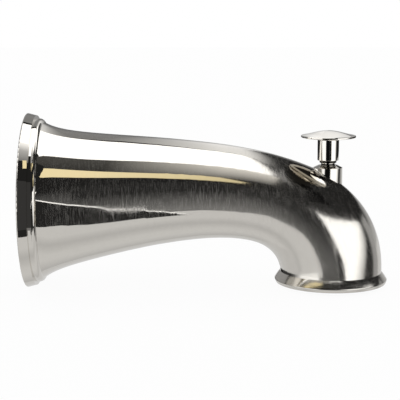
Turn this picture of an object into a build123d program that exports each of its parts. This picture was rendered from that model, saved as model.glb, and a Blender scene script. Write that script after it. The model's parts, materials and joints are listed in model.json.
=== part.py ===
from build123d import *
import os
from math import cos, exp, radians, sin, tan

# A bath spout with a pull-up diverter.
# X runs out of the wall along the supply pipe, Z is up, and the wall is at X = 0.
# Lengths are in millimetres and angles in degrees.

# Centre line of the casting: it rises from the rim to a crest and then bends down to the outlet
lip_x = 6.0
rise_angle = 3.8
rise_pull = 24.0
crest_x = 70.0
crest_z = 4.35
crest_pull = 18.9
reach = 132.75
neck_z = -30.3
crown_pull = 29.6
elbow_run = 17.1
elbow_rise = 30.4
nose_pull = 18.9

# Sections of the casting: a bell that narrows to a throat, and a nose that swells to the outlet
wall = 2.7
throat_radius = 19.6
throat_x = 102.0
bell_growth = 13.15
bell_power = 1.53
lip_length = 5.6
neck_radius = 22.25
nose_bulge = 0.52
swell_start = 0.465
swell_end = 0.93
rise_shares = (0, 0.03, 0.07, 0.13, 0.22, 0.34, 0.48, 0.63, 0.8)
bend_shares = (0, 0.13, 0.26, 0.38, 0.5, 0.62, 0.74, 0.85, 0.94, 1)

# Rim against the wall: a band with a rounded shoulder, a groove and a round bead
rim_radius = 38.0
band_width = 4.1
band_drop = 1.05
band_round = 1.2
rim_groove_width = 1.2
rim_groove_depth = 1.35
bead_width = 2.2
bead_drop = 1.95
bead_bulge = 0.55
lip_step = 0.12
rim_wall = 4.0
rim_edge = 0.4

# Outlet ring: a crowned slope out to its edge, and a short taper below
ring_radius = 24.7
ring_height = 6.15
ring_start = 1.15
ring_slope_height = 3.4
ring_crown = 0.08
ring_taper = 0.6
ring_round = 0.4
mouth_chamfer = 0.8

# Boss for the diverter's stem, measured from the roof of the bend above the stem
stem_setback = 1.88
boss_radius = 6.3
boss_rise = 4.55
boss_cone = 1.15
boss_top_radius = 4.0
boss_fillet = 0.6

# Finger hollows beside the boss
hollow_share = 0.545
hollow_angle = 32.2
hollow_turn = 11.8
hollow_length = 33.6
hollow_round = 6.5
hollow_depth = 1.27

# Stem, its seal and the gland ring under the seal
stem_radius = 3.0
bore_clearance = 0.1
gland_radius = 4.6
gland_length = 2.0
gland_nose = 1.1
gland_nose_radius = 3.9
pad_depth = 5.2
pad_wall = 2.0
seal_clearance = 0.05

# Knob and the stem's tenon in it
knob_gap = 0.9
knob_lip = 1.05
knob_lip_radius = 3.7
knob_neck_length = 9.15
knob_neck_radius = 4.65
knob_radius = 11.9
knob_under = 0.85
knob_edge = 0.9
knob_dome = 2.15
knob_brim_slope = 0.12
knob_brim_round = 0.35
knob_neck_round = 0.3
tenon_radius = 2.2
tenon_length = 7.0

# Gate, its seal and its travel
port_radius = 5.2
seal_overlap = 1.5
gate_seal_thickness = 2.0
seal_proud = 0.7
gate_thickness = 3.6
gate_margin = 0.3
gate_land = 2.6
gate_setback = 0.9
gate_boss_radius = 3.6
gate_boss_rise = 3.1
gate_boss_depth = 9.0
gate_screw_radius = 2.4
gate_screw_depth = 6.0
gate_corner = 2.0
lift_travel = 12.7
slide_clearance = 0.3

# Seat block with the port and the gate's rails
seat_plate = 2.0
plate_corner = 1.5
rail_wall = 1.6
rail_lip = 1.8
rail_reach = 4.5
rail_hold = 1.9
ledge = 1.6
port_wall = 2.5
port_run = 8.0

# Waterway tube, with a spigot that snaps into the seat block
tube_radius = 9.5
tube_bore = 6.5
spigot_radius = 8.3
spigot_length = 11.5
snap_height = 0.35
snap_length = 1.4
snap_setback = 2.0
groove_depth = 1.2
groove_width = 1.4
groove_setback = 6.0
socket_wall = 2.4
fit_clearance = 0.1

# Casting's web, and the tube's flange and screws
web_x = 33.0
web_thickness = 3.5
flange_thickness = 3.0
screw_circle = 19.3
screw_count = 3
screw_start_angle = 90.0
screw_radius = 1.5
screw_depth = 7.0
screw_head_radius = 2.75
screw_head_height = 2.0
driver_slot = 0.8
driver_width = 3.2
driver_depth = 1.0
lug_radius = 3.5
lug_length = 9.0

# Inlet bush for a 1/2 inch taper pipe thread, moulded into the tube's end, and its washer
bush_x = 12.0
bush_length = 16.2
bush_proud = 1.0
bush_across_flats = 25.0
pipe_bore = 9.13
bush_groove_width = 3.0
bush_groove_radius = 11.8
bush_chamfer = 1.0
bush_wall = 2.0
washer_thickness = 1.8
washer_bore = 8.0
washer_radius = 12.0

os.makedirs("parts", exist_ok=True)

# Corners of the rim, and the flare that brings the bell up to the bead
band_end = rim_radius - band_drop
groove_end = band_width + rim_groove_width
groove_floor = band_end - rim_groove_depth
bead_end = groove_floor - bead_drop
bead_x = groove_end + bead_width
bell_at_bead = throat_radius + bell_growth * ((throat_x - bead_x) / throat_x) ** bell_power
lip_growth = (bead_end + lip_step - bell_at_bead) * exp(bead_x / lip_length)

with BuildLine(Plane.XZ) as centre_line:
    rise = Bezier(
        (lip_x, 0),
        (lip_x + rise_pull, rise_pull * tan(radians(rise_angle))),
        (crest_x - crest_pull, crest_z),
        (crest_x, crest_z),
    )
    bend = Bezier(
        (crest_x, crest_z),
        (crest_x + crown_pull, crest_z),
        (reach - elbow_run, neck_z + elbow_rise),
        (reach, neck_z + nose_pull),
        (reach, neck_z),
    )


def bell_radius(x):
    span = max(throat_x - x, 0) / throat_x
    return throat_radius + bell_growth * span**bell_power + lip_growth * exp(-x / lip_length)


def bend_radius(share):
    t = min(max((share - swell_start) / (swell_end - swell_start), 0), 1)
    swell = t * t * (3 - 2 * t)
    nose = max(share - swell_start, 0) / (1 - swell_start)
    bulge = nose_bulge * (4 * nose * (1 - nose)) ** 2
    return bell_radius((bend @ share).X) + (neck_radius - throat_radius) * swell + bulge


def bend_plane(share):
    return Plane(origin=bend @ share, x_dir=(0, 1, 0), z_dir=bend % share)


def bend_outward(share):
    along = bend % share
    return Vector(-along.Z, 0, along.X)


def roof_share(x):
    # The place along the bend whose roof lies at this distance from the wall
    low, high = 0.0, 1.0
    while high - low > 1e-6:
        share = (low + high) / 2
        roof_x = (bend @ share + bend_outward(share) * bend_radius(share)).X
        low, high = (share, high) if roof_x < x else (low, share)
    return low


def casting_sections(inset):
    sections = []
    for share in rise_shares:
        centre = rise @ share
        with BuildSketch(Plane.YZ.offset(centre.X)) as section:
            with Locations((0, centre.Z)):
                Circle(bell_radius(centre.X) - inset)
        sections.append(section.sketch)
    for share in bend_shares:
        with BuildSketch(bend_plane(share)) as section:
            Circle(bend_radius(share) - inset)
        sections.append(section.sketch)
    return sections


# Places worked out from the sizes above
stem_x = reach - stem_setback
boss_share = roof_share(stem_x)
roof_z = (bend @ boss_share + bend_outward(boss_share) * bend_radius(boss_share)).Z
boss_top = roof_z + boss_rise
outlet_z = neck_z - ring_height
pad_z = roof_z - pad_depth
gland_z = pad_z - gland_nose
gland_top = pad_z + gland_length
seal_tube = (gland_radius - stem_radius) / 2 - seal_clearance
seal_top = gland_top + 2 * (seal_tube + seal_clearance)

knob_z = boss_top + knob_gap
knob_neck_z = knob_z + knob_lip
knob_under_z = knob_neck_z + knob_neck_length
knob_rim_z = knob_under_z + knob_under

gate_seal_radius = port_radius + seal_overlap
gate_half_height = gate_seal_radius + gate_margin
gate_half_width = gate_seal_radius + gate_land
port_z = gland_z - slide_clearance - gate_boss_rise - gate_half_height
gate_z = port_z - lift_travel
gate_boss_z = gate_z + gate_half_height + gate_boss_rise

gate_front = stem_x - gate_setback
gate_back = gate_front - gate_thickness
port_face_x = gate_back - seal_proud - slide_clearance
rail_x = gate_front + slide_clearance
channel_half_width = gate_half_width + slide_clearance
rail_half_width = channel_half_width + rail_wall
rail_low = gate_z - gate_half_height - slide_clearance
rail_high = port_z + rail_reach
plate_low = rail_low - ledge
plate_x = port_face_x - seat_plate
seat_x = port_face_x - port_run
spigot_x = seat_x - spigot_length
seat_socket = spigot_radius + fit_clearance
snap_x = seat_x - snap_setback
groove_x = seat_x - groove_setback

flange_x = web_x - flange_thickness
washer_x = bush_x + bush_length
washer_end = washer_x + washer_thickness
tube_end_x = bush_x + bush_proud
tube_socket = bush_across_flats / 2 / cos(radians(30)) + bush_wall
bush_groove_x = bush_x + (bush_length - bush_groove_width) / 2

stem_axis = Axis((stem_x, 0, 0), (0, 0, 1))
stem_plane = Plane(origin=(stem_x, 0, 0), x_dir=(1, 0, 0), z_dir=(0, -1, 0))
outlet_axis = Axis((reach, 0, 0), (0, 0, 1))
outlet_plane = Plane(origin=(reach, 0, 0), x_dir=(1, 0, 0), z_dir=(0, -1, 0))


def finger_hollow(side, growth):
    # An ellipsoid over the flank, with its long side turned a little down from the bend
    lean = radians(hollow_angle) * side
    turn = radians(hollow_turn) * side
    outward = bend_outward(hollow_share) * cos(lean) + Vector(0, 1, 0) * sin(lean)
    lift = bend_radius(hollow_share) + hollow_round - hollow_depth
    centre = bend @ hollow_share + outward * lift
    along = bend % hollow_share
    long_axis = along * cos(turn) + outward.cross(along) * sin(turn)
    long_half = hollow_length / 2 + growth
    round_half = hollow_round + growth
    with BuildPart() as hollow:
        with BuildSketch(Plane(origin=centre, x_dir=long_axis, z_dir=outward)):
            with BuildLine():
                EllipticalCenterArc((0, 0), long_half, round_half, start_angle=0, arc_size=180)
                Line((-long_half, 0), (long_half, 0))
            make_face()
        revolve(axis=Axis(centre, long_axis))
    return hollow.part


# The casting's hollow, in which the web, the screw lugs and the stem's pad are left standing
with BuildSketch(Plane.YZ) as core_mouth:
    Circle(rim_radius - rim_wall)
with BuildPart() as hollow_core:
    loft([core_mouth.sketch] + casting_sections(wall))
    with BuildSketch(outlet_plane):
        outlet_bore = neck_radius - wall
        Polygon(
            (0, neck_z),
            (outlet_bore, neck_z),
            (outlet_bore, outlet_z + mouth_chamfer),
            (outlet_bore + mouth_chamfer, outlet_z),
            (0, outlet_z),
            align=None,
        )
    revolve(axis=outlet_axis)
    with BuildSketch(Plane.YZ.offset(web_x)):
        Circle(rim_radius)
    extrude(amount=web_thickness, mode=Mode.SUBTRACT)
    with BuildSketch(Plane.YZ.offset(web_x)):
        with PolarLocations(screw_circle, screw_count, screw_start_angle):
            Circle(lug_radius)
    extrude(amount=lug_length, mode=Mode.SUBTRACT)
    with BuildSketch(Plane.XY.offset(pad_z)):
        with Locations((stem_x, 0)):
            Circle(gland_radius + pad_wall)
    extrude(amount=boss_top - pad_z, mode=Mode.SUBTRACT)
    for side in (-1, 1):
        add(finger_hollow(side, wall), mode=Mode.SUBTRACT)

with BuildPart() as spout_body:
    loft(casting_sections(0))
    # Rim: a band, a groove, and a bead that ends on the bell
    with BuildSketch(Plane.XZ) as rim_profile:
        with BuildLine():
            Polyline(
                (0, 0),
                (0, rim_radius),
                (band_width, band_end),
                (band_width, groove_floor),
                (groove_end, groove_floor),
            )
            SagittaArc((groove_end, groove_floor), (bead_x, bead_end), bead_bulge)
            Polyline((bead_x, bead_end), (bead_x, 0), (0, 0))
        make_face()
        corners = rim_profile.vertices().sort_by(Axis.Y)
        fillet(corners[-1], rim_edge)
        fillet(corners[-2], band_round)
    revolve(axis=Axis.X)
    # Outlet ring
    with BuildSketch(outlet_plane) as ring_profile:
        ring_top = neck_z - ring_start
        ring_edge_z = ring_top - ring_slope_height
        ring_foot = ring_radius - ring_taper
        with BuildLine():
            Polyline((0, neck_z), (neck_radius, neck_z), (neck_radius, ring_top))
            SagittaArc((neck_radius, ring_top), (ring_radius, ring_edge_z), ring_crown)
            Polyline((ring_radius, ring_edge_z), (ring_foot, outlet_z), (0, outlet_z), (0, neck_z))
        make_face()
        outer = ring_profile.vertices().filter_by_position(Axis.X, ring_foot - ring_round, ring_radius)
        fillet(outer, ring_round)
    revolve(axis=outlet_axis)
    # Boss with a coned top, filleted into the roof
    with BuildSketch(stem_plane):
        Polygon(
            (0, pad_z),
            (boss_radius, pad_z),
            (boss_radius, boss_top - boss_cone),
            (boss_top_radius, boss_top),
            (0, boss_top),
            align=None,
        )
    revolve(axis=stem_axis)
    boss_edges = spout_body.edges().filter_by(GeomType.BSPLINE).sort_by_distance((stem_x, 0, roof_z))
    fillet(boss_edges[0], boss_fillet)
    for side in (-1, 1):
        add(finger_hollow(side, 0), mode=Mode.SUBTRACT)
    add(hollow_core.part, mode=Mode.SUBTRACT)
    # Bore for the stem, with a wider one below for the seal and the gland ring
    with BuildSketch(stem_plane):
        Polygon(
            (0, gland_z - gland_nose),
            (gland_radius, gland_z - gland_nose),
            (gland_radius, seal_top),
            (stem_radius + bore_clearance, seal_top),
            (stem_radius + bore_clearance, boss_top),
            (0, boss_top),
            align=None,
        )
    revolve(axis=stem_axis, mode=Mode.SUBTRACT)
    # Holes in the web for the tube and its screws
    with BuildSketch(Plane.YZ.offset(web_x)):
        Circle(tube_radius + fit_clearance)
        with PolarLocations(screw_circle, screw_count, screw_start_angle):
            Circle(screw_radius + fit_clearance)
    extrude(amount=screw_depth + fit_clearance, mode=Mode.SUBTRACT)
spout_body.part.label = "spout_body"
export_step(spout_body.part, "parts/spout_body.step")

with BuildPart() as lift_knob:
    with BuildSketch(stem_plane) as knob_profile:
        hole_radius = tenon_radius + fit_clearance
        hole_top = knob_z + tenon_length + fit_clearance
        with BuildLine():
            Polyline(
                (0, hole_top),
                (hole_radius, hole_top),
                (hole_radius, knob_z),
                (knob_lip_radius, knob_z),
                (knob_lip_radius, knob_neck_z),
                (knob_neck_radius, knob_neck_z),
                (knob_neck_radius, knob_under_z),
                (knob_radius, knob_rim_z),
                (knob_radius, knob_rim_z + knob_edge),
            )
            Spline(
                (knob_radius, knob_rim_z + knob_edge),
                (0, knob_rim_z + knob_edge + knob_dome),
                tangents=((-1, knob_brim_slope), (-1, 0)),
            )
            Line((0, knob_rim_z + knob_edge + knob_dome), (0, hole_top))
        make_face()
        brim = knob_profile.vertices().filter_by_position(Axis.X, knob_neck_radius + knob_under, knob_radius)
        fillet(brim, knob_brim_round)
        neck = knob_profile.vertices().filter_by_position(Axis.X, stem_radius, knob_neck_radius)
        fillet(neck, knob_neck_round)
    revolve(axis=stem_axis)
lift_knob.part.label = "lift_knob"
export_step(lift_knob.part, "parts/lift_knob.step")

with BuildPart() as lift_stem:
    with BuildSketch(stem_plane):
        screw_end = gate_boss_z - gate_screw_depth
        Polygon(
            (0, screw_end),
            (gate_screw_radius, screw_end),
            (gate_screw_radius, gate_boss_z),
            (stem_radius, gate_boss_z),
            (stem_radius, knob_z),
            (tenon_radius, knob_z),
            (tenon_radius, knob_z + tenon_length),
            (0, knob_z + tenon_length),
            align=None,
        )
    revolve(axis=stem_axis)
lift_stem.part.label = "lift_stem"
export_step(lift_stem.part, "parts/lift_stem.step")

with BuildPart() as stem_seal:
    with BuildSketch(stem_plane):
        with Locations(((stem_radius + gland_radius) / 2, (gland_top + seal_top) / 2)):
            Circle(seal_tube)
    revolve(axis=stem_axis)
stem_seal.part.label = "stem_seal"
export_step(stem_seal.part, "parts/stem_seal.step")

with BuildPart() as stem_gland:
    with BuildSketch(stem_plane):
        Polygon(
            (stem_radius + bore_clearance, gland_z),
            (gland_nose_radius, gland_z),
            (gland_nose_radius, pad_z),
            (gland_radius - seal_clearance, pad_z),
            (gland_radius - seal_clearance, gland_top),
            (stem_radius + bore_clearance, gland_top),
            align=None,
        )
    revolve(axis=stem_axis)
stem_gland.part.label = "stem_gland"
export_step(stem_gland.part, "parts/stem_gland.step")

with BuildPart() as diverter_gate:
    with BuildSketch(Plane.YZ.offset(gate_back)):
        with Locations((0, gate_z)):
            RectangleRounded(2 * gate_half_width, 2 * gate_half_height, gate_corner)
    extrude(amount=gate_thickness)
    with BuildSketch(Plane.XY.offset(gate_boss_z)):
        with Locations((stem_x, 0)):
            Circle(gate_boss_radius)
    extrude(amount=-gate_boss_rise - gate_boss_depth)
    with BuildSketch(Plane.YZ.offset(gate_back)):
        with Locations((0, gate_z)):
            Circle(gate_seal_radius + fit_clearance)
    extrude(amount=gate_seal_thickness - seal_proud, mode=Mode.SUBTRACT)
    with Locations((stem_x, 0, gate_boss_z)):
        Hole(gate_screw_radius + fit_clearance, gate_screw_depth + fit_clearance)
diverter_gate.part.label = "diverter_gate"
export_step(diverter_gate.part, "parts/diverter_gate.step")

with BuildPart() as gate_seal:
    with BuildSketch(Plane.YZ.offset(gate_back - seal_proud)):
        with Locations((0, gate_z)):
            Circle(gate_seal_radius)
    extrude(amount=gate_seal_thickness)
gate_seal.part.label = "gate_seal"
export_step(gate_seal.part, "parts/gate_seal.step")

with BuildPart() as diverter_seat:
    # Socket for the tube, drawn in to the port, and the plate that the gate slides on
    with BuildSketch(Plane.YZ.offset(spigot_x + fit_clearance)):
        Circle(seat_socket + socket_wall)
    extrude(amount=spigot_length - fit_clearance)
    with BuildSketch(Plane.YZ.offset(seat_x)):
        Circle(seat_socket + socket_wall)
    with BuildSketch(Plane.YZ.offset(plate_x)):
        with Locations((0, port_z)):
            Circle(port_radius + port_wall)
    loft()
    with BuildSketch(Plane.YZ.offset(plate_x)):
        with Locations((0, (plate_low + rail_high) / 2)):
            RectangleRounded(2 * rail_half_width, rail_high - plate_low, plate_corner)
        with Locations((0, port_z)):
            Circle(port_radius + port_wall)
    extrude(amount=seat_plate)
    # Rails with lips in front of the gate's edges, closed at the bottom
    with BuildSketch(Plane.XY.offset(plate_low)):
        for side in (-1, 1):
            lip_edge = channel_half_width - rail_hold
            Polygon(
                (plate_x, side * rail_half_width),
                (rail_x + rail_lip, side * rail_half_width),
                (rail_x + rail_lip, side * lip_edge),
                (rail_x, side * lip_edge),
                (rail_x, side * channel_half_width),
                (plate_x, side * channel_half_width),
                align=None,
            )
    extrude(amount=rail_high - plate_low)
    with BuildSketch(Plane.XY.offset(plate_low)):
        for side in (-1, 1):
            with Locations(((plate_x + rail_x) / 2, side * (rail_half_width + lip_edge) / 2)):
                Rectangle(rail_x - plate_x, rail_half_width - lip_edge)
    extrude(amount=ledge)
    # Bore for the spigot with its snap groove, and the waterway on to the port
    with BuildSketch(Plane.XZ):
        Polygon(
            (spigot_x, 0),
            (spigot_x, seat_socket),
            (snap_x - snap_length - fit_clearance, seat_socket),
            (snap_x - snap_length - fit_clearance, seat_socket + snap_height),
            (snap_x + fit_clearance, seat_socket + snap_height),
            (snap_x + fit_clearance, seat_socket),
            (seat_x, seat_socket),
            (seat_x, 0),
            align=None,
        )
    revolve(axis=Axis.X, mode=Mode.SUBTRACT)
    with BuildSketch(Plane.YZ.offset(seat_x)):
        Circle(tube_bore)
    with BuildSketch(Plane.YZ.offset(port_face_x)):
        with Locations((0, port_z)):
            Circle(port_radius)
    loft(mode=Mode.SUBTRACT)
diverter_seat.part.label = "diverter_seat"
export_step(diverter_seat.part, "parts/diverter_seat.step")

seat_ring_tube = (groove_depth + fit_clearance) / 2 - seal_clearance
with BuildPart() as seat_seal:
    with BuildSketch(Plane.XZ):
        with Locations((groove_x, seat_socket - seal_clearance - seat_ring_tube)):
            Circle(seat_ring_tube)
    revolve(axis=Axis.X)
seat_seal.part.label = "seat_seal"
export_step(seat_seal.part, "parts/seat_seal.step")

with BuildPart() as waterway_tube:
    with BuildSketch(Plane.XZ):
        Polygon(
            (tube_end_x, 0),
            (tube_end_x, tube_socket),
            (web_x, tube_socket),
            (web_x, tube_radius),
            (spigot_x, tube_radius),
            (spigot_x, spigot_radius),
            (groove_x - groove_width / 2, spigot_radius),
            (groove_x - groove_width / 2, spigot_radius - groove_depth),
            (groove_x + groove_width / 2, spigot_radius - groove_depth),
            (groove_x + groove_width / 2, spigot_radius),
            (snap_x - snap_length, spigot_radius),
            (snap_x - snap_length, spigot_radius + snap_height),
            (snap_x, spigot_radius),
            (seat_x, spigot_radius),
            (seat_x, 0),
            align=None,
        )
    revolve(axis=Axis.X)
    with BuildSketch(Plane.YZ.offset(flange_x)):
        with PolarLocations(screw_circle, screw_count, screw_start_angle):
            Circle(lug_radius)
        make_hull()
        with PolarLocations(screw_circle, screw_count, screw_start_angle):
            Circle(screw_radius + fit_clearance, mode=Mode.SUBTRACT)
    extrude(amount=flange_thickness)
    # Six-sided socket for the bush, with the rib that fills the bush's groove, then washer seat and waterway
    with BuildSketch(Plane.YZ.offset(tube_end_x)):
        RegularPolygon(bush_across_flats / 2 + fit_clearance, 6, major_radius=False)
    extrude(amount=washer_x - tube_end_x, mode=Mode.SUBTRACT)
    with BuildSketch(Plane.YZ.offset(bush_groove_x + fit_clearance)):
        Circle(tube_socket)
        Circle(bush_groove_radius + fit_clearance, mode=Mode.SUBTRACT)
    extrude(amount=bush_groove_width - 2 * fit_clearance)
    with BuildSketch(Plane.XZ):
        Polygon(
            (washer_x, 0),
            (washer_x, washer_radius + fit_clearance),
            (washer_end, washer_radius + fit_clearance),
            (washer_end, tube_bore),
            (seat_x, tube_bore),
            (seat_x, 0),
            align=None,
        )
    revolve(axis=Axis.X, mode=Mode.SUBTRACT)
waterway_tube.part.label = "waterway_tube"
export_step(waterway_tube.part, "parts/waterway_tube.step")

with BuildPart() as tube_screws:
    with BuildSketch(Plane.YZ.offset(flange_x)):
        with PolarLocations(screw_circle, screw_count, screw_start_angle):
            Circle(screw_radius)
    extrude(amount=flange_thickness + screw_depth)
    with BuildSketch(Plane.YZ.offset(flange_x)):
        with PolarLocations(screw_circle, screw_count, screw_start_angle):
            Circle(screw_head_radius)
    extrude(amount=-screw_head_height)
    with BuildSketch(Plane.YZ.offset(flange_x - screw_head_height)):
        with PolarLocations(screw_circle, screw_count, screw_start_angle):
            Rectangle(driver_width, driver_slot)
            Rectangle(driver_slot, driver_width)
    extrude(amount=driver_depth, mode=Mode.SUBTRACT)
tube_screws.part.label = "tube_screws"
export_step(tube_screws.part, "parts/tube_screws.step")

with BuildPart() as inlet_bush:
    with BuildSketch(Plane.YZ.offset(bush_x)):
        RegularPolygon(bush_across_flats / 2, 6, major_radius=False)
    extrude(amount=bush_length)
    with BuildSketch(Plane.YZ.offset(bush_groove_x)):
        Circle(bush_across_flats)
        Circle(bush_groove_radius, mode=Mode.SUBTRACT)
    extrude(amount=bush_groove_width, mode=Mode.SUBTRACT)
    with BuildSketch(Plane.XZ):
        Polygon(
            (bush_x, 0),
            (bush_x, pipe_bore + bush_chamfer),
            (bush_x + bush_chamfer, pipe_bore),
            (washer_x, pipe_bore),
            (washer_x, 0),
            align=None,
        )
    revolve(axis=Axis.X, mode=Mode.SUBTRACT)
inlet_bush.part.label = "inlet_bush"
export_step(inlet_bush.part, "parts/inlet_bush.step")

with BuildPart() as inlet_washer:
    with BuildSketch(Plane.YZ.offset(washer_x)):
        Circle(washer_radius)
        Circle(washer_bore, mode=Mode.SUBTRACT)
    extrude(amount=washer_thickness)
inlet_washer.part.label = "inlet_washer"
export_step(inlet_washer.part, "parts/inlet_washer.step")
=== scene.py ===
import bpy
import bmesh
import json
from math import cos, exp, pi, radians, sin
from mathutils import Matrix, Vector

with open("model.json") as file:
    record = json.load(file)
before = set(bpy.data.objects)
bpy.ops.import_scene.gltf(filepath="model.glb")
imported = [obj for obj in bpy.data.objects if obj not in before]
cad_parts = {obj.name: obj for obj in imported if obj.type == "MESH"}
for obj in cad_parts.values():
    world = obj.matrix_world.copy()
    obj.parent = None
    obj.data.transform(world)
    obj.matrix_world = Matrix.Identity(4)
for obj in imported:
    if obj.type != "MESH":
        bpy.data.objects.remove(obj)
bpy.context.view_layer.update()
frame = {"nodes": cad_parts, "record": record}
print("frame loaded, nodes:", len(frame["nodes"]))
scene = bpy.context.scene
scene.view_settings.view_transform = "Standard"


# A socket with operators, so that shader maths reads as an expression
class Sock:
    def __init__(self, tree, socket):
        self.tree = tree
        self.socket = socket

    def node(self, kind, settings=None, inputs=None, out=0):
        made = self.tree.nodes.new("ShaderNode" + kind)
        for name, value in (settings or {}).items():
            setattr(made, name, value)
        for key, value in (inputs or {}).items():
            if isinstance(value, Sock):
                self.tree.links.new(value.socket, made.inputs[key])
            else:
                made.inputs[key].default_value = value
        return Sock(self.tree, made.outputs[out])

    def math(self, operation, *others):
        values = (self,) + others
        return self.node("Math", {"operation": operation}, dict(enumerate(values)))

    def __add__(self, other):
        return self.math("ADD", other)

    def __sub__(self, other):
        return self.math("SUBTRACT", other)

    def __rsub__(self, other):
        return self.node("Math", {"operation": "SUBTRACT"}, {0: other, 1: self})

    def __mul__(self, other):
        return self.math("MULTIPLY", other)

    def __truediv__(self, other):
        return self.math("DIVIDE", other)

    def __pow__(self, other):
        return self.math("POWER", other)

    __radd__ = __add__
    __rmul__ = __mul__

    # from low to high the value goes from least to most, and no further
    def clip(self, low, high, least=0.0, most=1.0):
        ends = {0: self, 1: low, 2: high, 3: least, 4: most}
        return self.node("MapRange", {"clamp": True}, ends)

    def xyz(self):
        made = self.node("SeparateXYZ", None, {0: self}).socket.node
        return [Sock(self.tree, made.outputs[axis]) for axis in "XYZ"]

    def vector(self, second, third):
        return self.node("CombineXYZ", None, {0: self, 1: second, 2: third})

    def dot(self, other):
        return self.node("VectorMath", {"operation": "DOT_PRODUCT"}, {0: self, 1: other}, out="Value")

    def noise(self, scale, detail=2.0):
        return self.node("TexNoise", None, {"Vector": self, "Scale": scale, "Detail": detail})

    # the height is in metres
    def bump(self):
        return self.node("Bump", None, {"Height": self, "Distance": 1.0, "Strength": 1.0})

    def mix(self, first, second):
        return self.node("Mix", {"data_type": "RGBA"}, {0: self, 6: first, 7: second}, out=2)

    def mixValue(self, first, second):
        return self.node("Mix", {"data_type": "FLOAT"}, {0: self, 2: first, 3: second})

    def into(self, shader, name):
        self.tree.links.new(self.socket, shader.inputs[name])


def newMaterial(name, constants=None):
    made = bpy.data.materials.new(name)
    made.use_nodes = True
    tree = made.node_tree
    shader = tree.nodes["Principled BSDF"]
    for key, value in (constants or {}).items():
        shader.inputs[key].default_value = value
    place = tree.nodes.new("ShaderNodeTexCoord")
    return made, shader, Sock(tree, place.outputs["Object"])


def rgb(r, g, b):
    return (r, g, b, 1.0)


white, warm, gold = rgb(1, 1, 1), rgb(1.0, 0.975, 0.92), rgb(1.0, 0.86, 0.52)

# Camera at the photograph's viewing angle
cameraSet = {
    "target": Vector((0.07508, 0.0, -0.0001)),
    "azimuth": -0.34,
    "elevation": 8.77,
    "distance": 0.5235,
    "lens": 107.64,
    "sensor": 36.0,
    "clipStart": 0.01,
}


def makeCamera():
    c = cameraSet
    a, e = radians(c["azimuth"]), radians(c["elevation"])
    back = Vector((sin(a) * cos(e), -cos(a) * cos(e), sin(e)))
    data = bpy.data.cameras.new("photoCamera")
    data.lens = c["lens"]
    data.sensor_width = c["sensor"]
    data.clip_start = c["clipStart"]
    camera = bpy.data.objects.new("photoCamera", data)
    camera.location = c["target"] + back * c["distance"]
    camera.rotation_euler = (-back).to_track_quat("-Z", "Y").to_euler()
    scene.collection.objects.link(camera)
    scene.camera = camera


makeCamera()

# Studio: white world and floor, with cards that only show in reflections
studio = {
    "worldLight": 0.85,
    "floorZ": -0.0382,
    "floorSize": 8.0,
    "floorWhite": 0.95,
    "floorTint": rgb(0.9, 0.9, 0.9),
    "floorRoughness": 0.9,
}


# 1 where the camera, a reflection or glass looks, 0 for the light itself
def whiteRays(tree):
    rays = tree.nodes.new("ShaderNodeLightPath").outputs
    shown = Sock(tree, rays["Is Camera Ray"])
    for other in ("Is Glossy Ray", "Is Transmission Ray"):
        shown = shown.math("MAXIMUM", Sock(tree, rays[other]))
    return shown


def makeWorld():
    world = bpy.data.worlds.new("studioWorld")
    world.use_nodes = True
    tree = world.node_tree
    sky = tree.nodes["Background"]
    sky.inputs["Color"].default_value = white
    strength = whiteRays(tree) * (1.0 - studio["worldLight"]) + studio["worldLight"]
    strength.into(sky, "Strength")
    scene.world = world


def flatMesh(name, corners):
    bm = bmesh.new()
    bm.faces.new([bm.verts.new(corner) for corner in corners])
    mesh = bpy.data.meshes.new(name)
    bm.to_mesh(mesh)
    bm.free()
    flat = bpy.data.objects.new(name, mesh)
    scene.collection.objects.link(flat)
    return flat


# Corners of flat outlines: lying, a square lying, an upright strip, and facing the spout's side
def level(z, *points):
    return [(x, y, z) for x, y in points]


def square(z, half):
    return level(z, (-half, -half), (half, -half), (half, half), (-half, half))


def upright(low, high, first, last):
    return [(*first, low), (*last, low), (*last, high), (*first, high)]


def standing(y, *points):
    return [(x, y, z) for x, z in points]


def makeFloor():
    floor = flatMesh("studioFloor", square(studio["floorZ"], studio["floorSize"] / 2))
    made = bpy.data.materials.new("studioFloor")
    made.use_nodes = True
    tree = made.node_tree
    matte = tree.nodes["Principled BSDF"]
    matte.inputs["Base Color"].default_value = studio["floorTint"]
    matte.inputs["Roughness"].default_value = studio["floorRoughness"]
    glow = tree.nodes.new("ShaderNodeEmission")
    glow.inputs["Color"].default_value = white
    blend = tree.nodes.new("ShaderNodeMixShader")
    part = whiteRays(tree) * studio["floorWhite"]
    tree.links.new(part.socket, blend.inputs[0])
    tree.links.new(matte.outputs[0], blend.inputs[1])
    tree.links.new(glow.outputs[0], blend.inputs[2])
    # from below the floor is clear
    clear = tree.nodes.new("ShaderNodeMixShader")
    tree.links.new(tree.nodes.new("ShaderNodeNewGeometry").outputs["Backfacing"], clear.inputs[0])
    tree.links.new(blend.outputs[0], clear.inputs[1])
    tree.links.new(tree.nodes.new("ShaderNodeBsdfTransparent").outputs[0], clear.inputs[2])
    tree.links.new(clear.outputs[0], tree.nodes["Material Output"].inputs[0])
    floor.data.materials.append(made)
    floor.visible_glossy = False  # reflections look past it to the studio below


# A fade runs along an axis, or between any two points, from one share of the light to another
def fade(axis, start, end, low, high):
    way = Vector([float(each == axis) for each in "xyz"])
    return way * start, way * end, low, high


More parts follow.
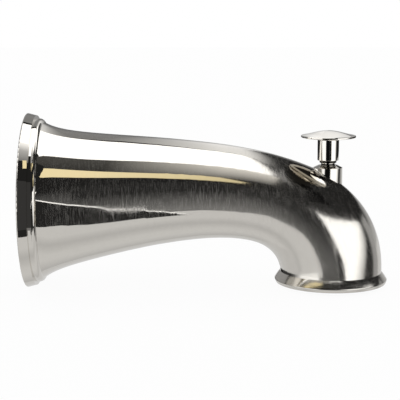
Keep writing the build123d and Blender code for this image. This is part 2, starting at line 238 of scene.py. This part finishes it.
def makeCard(name, corners, light, fades=(), color=white):
    card = flatMesh(name, corners)
    made = bpy.data.materials.new(name)
    made.use_nodes = True
    tree = made.node_tree
    tree.nodes.clear()
    glow = tree.nodes.new("ShaderNodeEmission")
    glow.inputs["Color"].default_value = color
    glow.inputs["Strength"].default_value = light
    place = Sock(tree, tree.nodes.new("ShaderNodeTexCoord").outputs["Object"])
    share = None
    for first, last, low, high in fades:
        way = last - first
        part = place.dot(tuple(way)).clip(way.dot(first), way.dot(last), low, high)
        share = share * part if share else part
    if share:
        (share * light).into(glow, "Strength")
    out = tree.nodes.new("ShaderNodeOutputMaterial")
    tree.links.new(glow.outputs[0], out.inputs[0])
    card.data.materials.append(made)
    card.visible_camera = False
    card.visible_diffuse = False
    card.visible_shadow = False


room = {
    "left": -0.8,
    "right": 1.0,
    "near": -0.63,
    "front": -2.43,
    "back": 0.63,
    "roof": 0.30,
    "roofGap": 0.005,
    "wallTop": 0.34,
    "wallLow": -0.05,
    "wallTurn": 0.2,
    "bottom": -4.0,
    "bottomHalf": 20.0,
    "boxLight": 1.9,
    "backLight": 1.1,
    "lowLight": 0.72,
    "dark": 0.02,
}


# Walls and roof of the studio, far enough away to look alike from every part of the spout
def makeRoom():
    left, right, near, back = room["left"], room["right"], room["near"], room["back"]
    roof, gap, top, low = room["roof"], room["roofGap"], room["wallTop"], room["wallLow"]
    turn, dark = room["wallTurn"], room["dark"]
    makeCard("roof", level(
        roof + 2 * gap, (left, near), (right, near), (right, back), (turn, back), (0.19, 0.42), (0.18, 0.28),
        (left, 0.28)), light=dark)
    makeCard("topBox", level(
        roof, (left, -0.10), (0.0, -0.12), (0.06, -0.17), (0.225, -0.17), (0.22, -0.08), (0.203, 0.005),
        (0.17, 0.14), (0.115, 0.146), (0.068, 0.175), (0.045, 0.197), (0.03, 0.195), (left, 0.212)),
        light=room["boxLight"])
    paleBack = fade("x", 0.03, 0.14, 0.25, 1.0)
    makeCard("roofBack", level(
        roof + gap, (left, 0.255), (0.03, 0.237), (0.045, 0.239), (0.068, 0.206), (0.115, 0.158),
        (0.17, 0.15), (0.215, 0.03), (0.24, 0.03), (0.25, back), (left, back)),
        light=room["backLight"], fades=[paleBack, fade("x", 0.178, 0.222, 1.0, 0.02)])
    makeCard("backWall", upright(low, top, (left, back), (turn, back)),
             light=room["backLight"], fades=[paleBack, fade("z", 0.08, roof, 0.5, 1.0)])
    makeCard("backRight", upright(low, top, (turn, back), (right, back)),
             light=1.0, fades=[fade("z", 0.24, 0.05, 0.08, 0.5)])
    makeCard("backLow", upright(-0.8, low, (-0.05, back), (right, back)), light=room["lowLight"])
    makeCard("rightWall", upright(-0.5, top, (right, near), (right, back)),
             light=1.0, fades=[fade("y", 0.18, 0.30, 0.03, 0.42)])
    makeCard("leftBox", upright(-0.30, 0.12, (-0.27, near), (-0.75, -0.2)),
             light=1.45, fades=[fade("z", -0.30, -0.20, 0.7, 1.0)])
    # the corner behind the bell, in three bands
    for name, foot, head, light in (
            ("backLeft", -0.02, top, 0.36),
            ("backLeftBand", -0.2, -0.02, dark),
            ("backLeftLow", -0.8, -0.2, room["lowLight"])):
        makeCard(name, upright(foot, head, (-0.75, -0.1), (-0.05, back)), light)
    # the ground far below gives the underside its pale bands
    makeCard("bottom", square(room["bottom"], room["bottomHalf"]), light=0.79, fades=[
        fade("y", -2.4, -1.2, 1.0, 0.82), fade("y", -1.0, 0.3, 1.0, 1.22), fade("y", 1.2, 4.0, 1.0, 0.66)])
    # front wall: grey left of the flag, darker right of it
    front = room["front"]
    makeCard("frontWall", standing(
        front, (0.75, -2.05), (0.43, -2.15), (0.1, -1.95), (-0.05, -1.7), (-0.4, -1.63), (-0.81, -1.46),
        (-0.93, -1.12), (-0.95, -0.7), (-1.3, -0.6), (-1.3, 1.4), (0.75, 1.4)),
        light=1.0, fades=[fade("z", 0.3, -1.6, 0.03, 0.24)])
    makeCard("frontRight", upright(-0.4, 1.4, (0.75, front), (7.0, front)),
             light=1.0, fades=[fade("z", 0.25, 0.9, 0.1, 0.02)])


# The edge is a falling line that swings out to the right at the top
flag = {
    "ahead": 0.01,
    "edgeTop": 0.45,
    "edgeLow": -1.5,
    "edgeSteps": 39,
    "edgeStart": 0.5836,
    "edgeSlope": -0.1044,
    "edgeSwing": 0.613,
    "edgeRate": 5.315,
    "tail": [(0.752, -2.0), (0.77, -2.9)],
    "foot": [
        (0.8, -2.95), (0.93, -2.93), (0.945, -2.55), (1.0, -2.22), (1.25, -1.95), (1.8, -1.95), (7.0, -2.95)],
    "shade": 0.025,
    "edgeWide": 0.010,
    "edgeHigh": 0.07,
    "edgeLight": 1.6,
    "spread": 0.02,
    "spreadFrom": -0.8,
    "spreadMost": 0.001,
    "lowFrom": -1.0,
    "lowLight": 1.4,
}


# Black flag in front of the wall, lit along its left and upper edges
def makeFlag():
    f = flag
    ahead = room["front"] + f["ahead"]
    edge, outer = [], []
    for step in range(f["edgeSteps"] + 1):
        z = f["edgeTop"] + (f["edgeLow"] - f["edgeTop"]) * step / f["edgeSteps"]
        edge.append((f["edgeStart"] + f["edgeSlope"] * z + f["edgeSwing"] * exp(f["edgeRate"] * z), z))
    edge += f["tail"]
    for x, z in edge:
        wider = min(max(f["spreadFrom"] - z, 0.0) * f["spread"], f["spreadMost"])
        outer.append((x - f["edgeWide"] - wider, z + f["edgeHigh"]))
    makeCard("flag", standing(ahead, *edge, *f["foot"]), light=f["shade"])
    makeCard("flagEdge", standing(ahead, *edge, *outer[::-1]), light=f["edgeLight"], fades=[
        fade("z", f["spreadFrom"], f["lowFrom"], 1.0, f["lowLight"])])


# Heights and lights of the small cards
close = {
    "highZ": 0.05,
    "goldZ": 0.035,
    "domeZ": 0.037,
    "rimZ": 0.02,
    "goldLight": 1.25,
    "domeLight": 1.1,
    "rimLight": 1.5,
    "rimDark": 0.05,
    "black": 0.005,
    "sideLight": 1.7,
    "sideNear": Vector((0.175, -0.13)),
    "sideFar": Vector((0.33, 0.03)),
    "sideBright": Vector((0.262, -0.041, 0.026)),
    "sideDim": Vector((0.288, -0.0132, -0.006)),
}


# Small cards close to the spout: shade and gold strip along the side, then the rim, the knob and the nose
def makeNearCards():
    c, dark = close, room["dark"]
    makeCard("nearShade", level(
        c["highZ"], (0.018, -0.0262), (0.03, -0.0272), (0.055, -0.0276), (0.087, -0.029), (0.125, -0.031),
        (0.125, -0.0637), (0.097, -0.0637), (0.0625, -0.056), (0.041, -0.052), (0.018, -0.045)),
        light=1.0, color=warm,
        fades=[fade("y", -0.030, -0.06, 0.95, 0.22), fade("x", 0.04, 0.095, 0.09, 1.0)])
    makeCard("nearGold", level(
        c["goldZ"], (0.014, -0.036), (0.03, -0.0375), (0.055, -0.0402), (0.082, -0.043), (0.0915, -0.0455),
        (0.1058, -0.0545), (0.104, -0.0615), (0.085, -0.059), (0.072, -0.0548), (0.055, -0.0515),
        (0.03, -0.0498), (0.014, -0.0485)),
        light=c["goldLight"], color=gold, fades=[fade("x", 0.03, 0.1, 1.0, 0.75)])
    makeCard("rimGold", level(
        c["goldZ"], (0.0072, -0.038), (0.0087, -0.0373), (0.0112, -0.0457), (0.0098, -0.0463)),
        light=c["goldLight"], color=gold)
    makeCard("rimShade", level(
        c["rimZ"], (0.0075, -0.0275), (0.0118, -0.0275), (0.0137, -0.0318), (0.0162, -0.0349),
        (0.0178, -0.0361), (0.0178, -0.038), (0.0075, -0.038)), light=dark)
    makeCard("nearWhite", level(
        c["highZ"], (0.012, -0.012), (0.05, -0.012), (0.05, 0.006), (0.03, 0.008), (0.012, 0.008)),
        light=room["boxLight"])
    makeCard("domeWhite", level(
        c["domeZ"], (0.126, -0.004), (0.15, -0.004), (0.152, 0.028), (0.133, 0.028)),
        light=c["domeLight"], fades=[fade("y", 0.004, 0.028, 1.0, 0.6)])
    makeCard("rimGrey", level(
        c["highZ"], (0.004, -0.025), (0.017, -0.025), (0.017, -0.0462), (0.004, -0.0462)),
        light=c["rimLight"],
        fades=[fade("y", -0.025, -0.0335, 1.0, 0.42), fade("y", -0.0335, -0.045, 1.0, 0.48)])
    makeCard("rimFlag", upright(-0.012, 0.02, (0.0, -0.045), (0.009, -0.045)), light=c["rimDark"])
    makeCard("knobFlag", upright(0.012, 0.05, (0.1385, -0.039), (0.1497, -0.0352)), light=dark)
    makeCard("knobDark", upright(0.003, 0.028, (0.1223, -0.02), (0.1338, -0.02)), light=c["black"])
    makeCard("knobShade", upright(0.012, 0.06, (0.19, 0.0), (0.165, 0.09)), light=dark)
    # the bright patch on the nose, as shares of the way from near to far, and heights
    sideBox = [
        (0.10, -0.09), (0.08, -0.054), (0.02, -0.033), (-0.046, -0.004), (-0.074, 0.023), (-0.085, 0.056),
        (0.107, 0.05), (0.51, 0.053), (0.86, 0.061), (0.99, 0.05), (0.877, 0.019), (0.73, -0.006),
        (0.636, -0.024), (0.53, -0.053), (0.53, -0.09)]
    corners = [(*c["sideNear"].lerp(c["sideFar"], share), z) for share, z in sideBox]
    makeCard("sideBox", corners, light=c["sideLight"], fades=[(c["sideBright"], c["sideDim"], 1.0, 0.12)])


makeWorld()
makeFloor()
makeRoom()
makeFlag()
makeNearCards()
print("studio ready")


# Nickel casting: fine upright hairlines, bright round the boss and in the finger hollows, with painted shade
# tinting the hollows a darker olive, dull inside
brushed = {
    "tint": rgb(0.67, 0.645, 0.60),
    "shade": rgb(0.658, 0.633, 0.588),
    # darker olive: painted shade in the finger hollows
    "paintedHollowShade": rgb(0.50, 0.45, 0.36),
    "castTint": rgb(0.36, 0.345, 0.32),
    "hairsPerMetre": 3600.0,
    "linesPerMetre": 700.0,
    "hairRun": 260.0,
    "hairCut": (0.46, 0.74),
    "lineCut": (0.3, 0.7),
    "lean": 0.43,
    "leanFrom": 0.095,
    "leanTo": 0.125,
    "roughness": 0.03,
    "softRoughness": 0.135,
    "softFrom": 0.065,
    "softTo": 0.11,
    "hairRoughness": 0.04,
    "softHairRoughness": 0.12,
    "hairHeight": 1e-8,
    "softHairHeight": 1.5e-7,
    "hairHaze": 0.15,
    "elbowHaze": 0.04,
    "hazeTop": 0.011,
    "hazeLow": 0.003,
    "topHaze": 0.45,
    "hairFrom": 0.008,
    "hairTo": 0.014,
    "brightRoughness": 0.04,
    "castRoughness": 0.48,
    "grainsPerMetre": 1400.0,
    "grainHeight": 2.5e-5,
}
# Places of its zones, in metres
casting = {
    "neckZ": -0.0303,
    "neckEdge": 0.0004,
    "bossX": 0.1309,
    "bossRadius": 0.0125,
    "bossEdge": 0.0008,
    "bossZ": 0.010,
    "bossRise": 0.001,
    "hollow": (0.1185, 0.0105, 0.012),
    "hollowRadius": 0.0085,
    "hollowEdge": 0.004,
    "bendX": 0.098,
    "bendZ": -0.038,
    "bendRadius": 0.033,
    "insideFrom": -0.001,
    "insideTo": -0.003,
    "webFacing": (-0.9, -0.95),
    "webFrom": (0.004, 0.006),
    "webTo": (0.06, 0.055),
}


# Masks of the casting: outlet ring, boss and hollow, and the inside
def castingZones(place, facing):
    c = casting
    x, y, z = place.xyz()
    ring = z.clip(c["neckZ"] + c["neckEdge"], c["neckZ"] - c["neckEdge"])
    fromStem = ((x - c["bossX"]) ** 2.0 + y ** 2.0) ** 0.5
    boss = fromStem.clip(c["bossRadius"], c["bossRadius"] - c["bossEdge"])
    boss = boss * z.clip(c["bossZ"] - c["bossRise"], c["bossZ"])
    hx, hy, hz = c["hollow"]
    side = y.math("ABSOLUTE")
    fromHollow = ((x - hx) ** 2.0 + (side - hy) ** 2.0 + (z - hz) ** 2.0) ** 0.5
    hollow = fromHollow.clip(c["hollowRadius"], c["hollowRadius"] - c["hollowEdge"])
    # inside, the surface faces the middle of the tube
    turn = (x - c["bendX"]).math("MAXIMUM", 0.0).math("ARCTAN2", z - c["bendZ"])
    middleX = x.math("MINIMUM", c["bendX"]) + turn.math("SINE") * c["bendRadius"]
    middleZ = turn.math("COSINE") * c["bendRadius"] + c["bendZ"]
    outward = (x - middleX).vector(y, z - middleZ)
    inside = facing.dot(outward).clip(c["insideFrom"], c["insideTo"])
    # the web across the bell is part of the inside, and faces the wall
    web = facing.xyz()[0].clip(*c["webFacing"]) * x.clip(*c["webFrom"]) * x.clip(*c["webTo"])
    return ring, boss, hollow, inside.math("MAXIMUM", web)


def brushedNickel():
    s = brushed
    made, shader, place = newMaterial("brushedNickel")
    facing = Sock(place.tree, place.socket.node.outputs["Normal"])
    x, y, z = place.xyz()
    ring, boss, hollow, inside = castingZones(place, facing)
    bright = boss.math("MAXIMUM", hollow)
    # the hairs run upright, lean over at the elbow and follow the outlet ring
    across = x + x.clip(s["leanFrom"], s["leanTo"]) * s["lean"] * z
    across = ring.mixValue(across, z)
    run = ring.mixValue(z, x) * s["hairRun"]
    hairs = (across * s["hairsPerMetre"]).vector(y * s["hairRun"], run).noise(1.0, 2.0)
    lines = (across * s["linesPerMetre"]).vector(y * s["hairRun"], run).noise(1.0, 3.0)
    # painted shade: the finger hollows are tinted a darker olive
    tint = hollow.mix(lines.clip(*s["lineCut"]).mix(s["shade"], s["tint"]), s["paintedHollowShade"])
    inside.mix(tint, s["castTint"]).into(shader, "Base Color")
    # the finish softens towards the elbow
    soft = x.clip(s["softFrom"], s["softTo"])
    hair = hairs.clip(*s["hairCut"]) * (1.0 - bright) * x.clip(s["hairFrom"], s["hairTo"])
    rough = hair * soft.mixValue(s["hairRoughness"], s["softHairRoughness"])
    rough = rough + soft.mixValue(s["roughness"], s["softRoughness"])
    rough = bright.mixValue(rough, s["brightRoughness"])
    inside.mixValue(rough, s["castRoughness"]).into(shader, "Roughness")
    # the hairs scatter a little light of their own
    haze = x.clip(s["leanFrom"], s["leanTo"], s["hairHaze"], s["elbowHaze"])
    haze = haze * z.clip(s["hazeTop"], s["hazeLow"], s["topHaze"], 1.0)
    (1.0 - hair * haze).into(shader, "Metallic")
    height = hairs * soft.mixValue(s["hairHeight"], s["softHairHeight"]) * (1.0 - bright)
    grain = place.noise(s["grainsPerMetre"], 3.0)
    inside.mixValue(height, grain * s["grainHeight"]).bump().into(shader, "Normal")
    return made


# Polished nickel of the knob and stem, with painted shade: black in the groove under the knob but for the
# ridge in it
polished = {
    "tint": rgb(0.78, 0.755, 0.71),
    "shade": rgb(0.72, 0.69, 0.64),
    "roughness": 0.035,
    "smear": 0.04,
    "smearsPerMetre": 160.0,
    "smearCut": (0.35, 0.65),
    "stemX": 0.1309,
    "ringsPerMetre": 3000.0,
    "ringRun": 60.0,
    "ringCut": (0.4, 0.8),
    "ringHeight": 4e-7,
    # near black: painted shade in the groove under the knob
    "paintedGrooveShade": rgb(0.02, 0.019, 0.017),
    "grooveTop": 0.0174,
    "grooveLow": 0.0153,
    "ridgeZ": 0.0163,
    "ridgeHalf": 0.00015,
    "edge": 0.0001,
}


def polishedNickel():
    s = polished
    made, shader, place = newMaterial("polishedNickel", {"Metallic": 1.0})
    x, y, z = place.xyz()
    rings = (z * s["ringsPerMetre"]).vector((x - s["stemX"]) * s["ringRun"], y * s["ringRun"]).noise(1.0, 2.0)
    smears = place.noise(s["smearsPerMetre"], 3.0)
    groove = z.clip(s["grooveTop"], s["grooveTop"] - s["edge"])
    groove = groove * z.clip(s["grooveLow"] - s["edge"], s["grooveLow"])
    ridge = (z - s["ridgeZ"]).math("ABSOLUTE").clip(s["ridgeHalf"], s["ridgeHalf"] + s["edge"])
    tint = smears.clip(*s["smearCut"]).mix(s["tint"], s["shade"])
    # painted shade: the groove under the knob is coloured near black, all but the ridge in it
    (groove * ridge).mix(tint, s["paintedGrooveShade"]).into(shader, "Base Color")
    (rings.clip(*s["ringCut"]) * s["smear"] + s["roughness"]).into(shader, "Roughness")
    (rings * s["ringHeight"]).bump().into(shader, "Normal")
    return made


# Rubber, plastics and steel: clouds of two tints and of two roughnesses, over a fine grain
clouded = {
    "blackRubber": {
        "constants": {"Specular IOR Level": 0.35},
        "tints": (rgb(0.016, 0.016, 0.017), rgb(0.035, 0.034, 0.033)),
        "roughness": (0.55, 0.8),
        "cloud": (220.0, 4.0),
        "grainsPerMetre": 5000.0,
        "grainHeight": 8e-6,
    },
    "whiteAcetal": {
        "constants": {"IOR": 1.48, "Subsurface Weight": 0.15, "Subsurface Radius": (0.002, 0.0018, 0.0014)},
        "tints": (rgb(0.80, 0.79, 0.75), rgb(0.86, 0.85, 0.82)),
        "roughness": (0.28, 0.42),
        "cloud": (140.0, 3.0),
        "grainsPerMetre": 2600.0,
        "grainHeight": 4e-6,
    },
    "blackPlastic": {
        "constants": {"IOR": 1.5},
        "tints": (rgb(0.022, 0.022, 0.023), rgb(0.04, 0.04, 0.041)),
        "roughness": (0.34, 0.52),
        "cloud": (180.0, 3.0),
        "grainsPerMetre": 3600.0,
        "grainHeight": 1.2e-5,
    },
    "screwSteel": {
        "constants": {"Metallic": 1.0},
        "tints": (rgb(0.52, 0.52, 0.53), rgb(0.64, 0.64, 0.64)),
        "roughness": (0.18, 0.36),
        "cloud": (600.0, 4.0),
        "grainsPerMetre": 6000.0,
        "grainHeight": 2e-6,
    },
}
cloudCuts = {"tint": (0.3, 0.7), "roughness": (0.2, 0.8)}


def cloudedFinish(name):
    s = clouded[name]
    made, shader, place = newMaterial(name, s["constants"])
    cloud = place.noise(*s["cloud"])
    cloud.clip(*cloudCuts["tint"]).mix(*s["tints"]).into(shader, "Base Color")
    cloud.clip(*cloudCuts["roughness"], *s["roughness"]).into(shader, "Roughness")
    (place.noise(s["grainsPerMetre"], 2.0) * s["grainHeight"]).bump().into(shader, "Normal")
    return made


# Turned brass: tool lines round the X axis, a pipe thread in the bore, a little brown where it has dulled
brass = {
    "tint": rgb(0.80, 0.58, 0.28),
    "dullTint": rgb(0.58, 0.40, 0.19),
    "dullCloud": (230.0, 4.0),
    "dullCut": (0.42, 0.68),
    "roughness": 0.16,
    "lineRoughness": 0.10,
    "dullRoughness": 0.16,
    "linesPerMetre": 5000.0,
    "lineRun": 50.0,
    "lineHeight": 3e-6,
    "threadRadius": 0.0095,
    "threadEdge": 0.0002,
    "threadPitch": 0.001814,
    "threadDepth": 0.0007,
}


def turnedBrass():
    s = brass
    made, shader, place = newMaterial("turnedBrass", {"Metallic": 1.0})
    x, y, z = place.xyz()
    lines = (x * s["linesPerMetre"]).vector(y * s["lineRun"], z * s["lineRun"]).noise(1.0, 2.0)
    dull = place.noise(*s["dullCloud"]).clip(*s["dullCut"])
    dull.mix(s["tint"], s["dullTint"]).into(shader, "Base Color")
    rough = lines * s["lineRoughness"] + dull * s["dullRoughness"] + s["roughness"]
    rough.into(shader, "Roughness")
    bore = ((y ** 2.0 + z ** 2.0) ** 0.5).clip(s["threadRadius"], s["threadRadius"] - s["threadEdge"])
    winding = x / s["threadPitch"] + y.math("ARCTAN2", z) / (2 * pi)
    ridge = winding.math("FRACT").math("PINGPONG", 0.5) * 2.0
    (bore * ridge * s["threadDepth"] + lines * s["lineHeight"]).bump().into(shader, "Normal")
    return made


finishes = {
    "brushed_nickel": brushedNickel(),
    "polished_nickel": polishedNickel(),
    "black_rubber": cloudedFinish("blackRubber"),
    "white_acetal": cloudedFinish("whiteAcetal"),
    "black_plastic": cloudedFinish("blackPlastic"),
    "screw_steel": cloudedFinish("screwSteel"),
    "brass": turnedBrass(),
}
for row in frame["record"]["subparts"]:
    slots = frame["nodes"][row["node"]].data.materials
    slots.clear()
    slots.append(finishes[row["material_slot"]])
print("finishes ready")
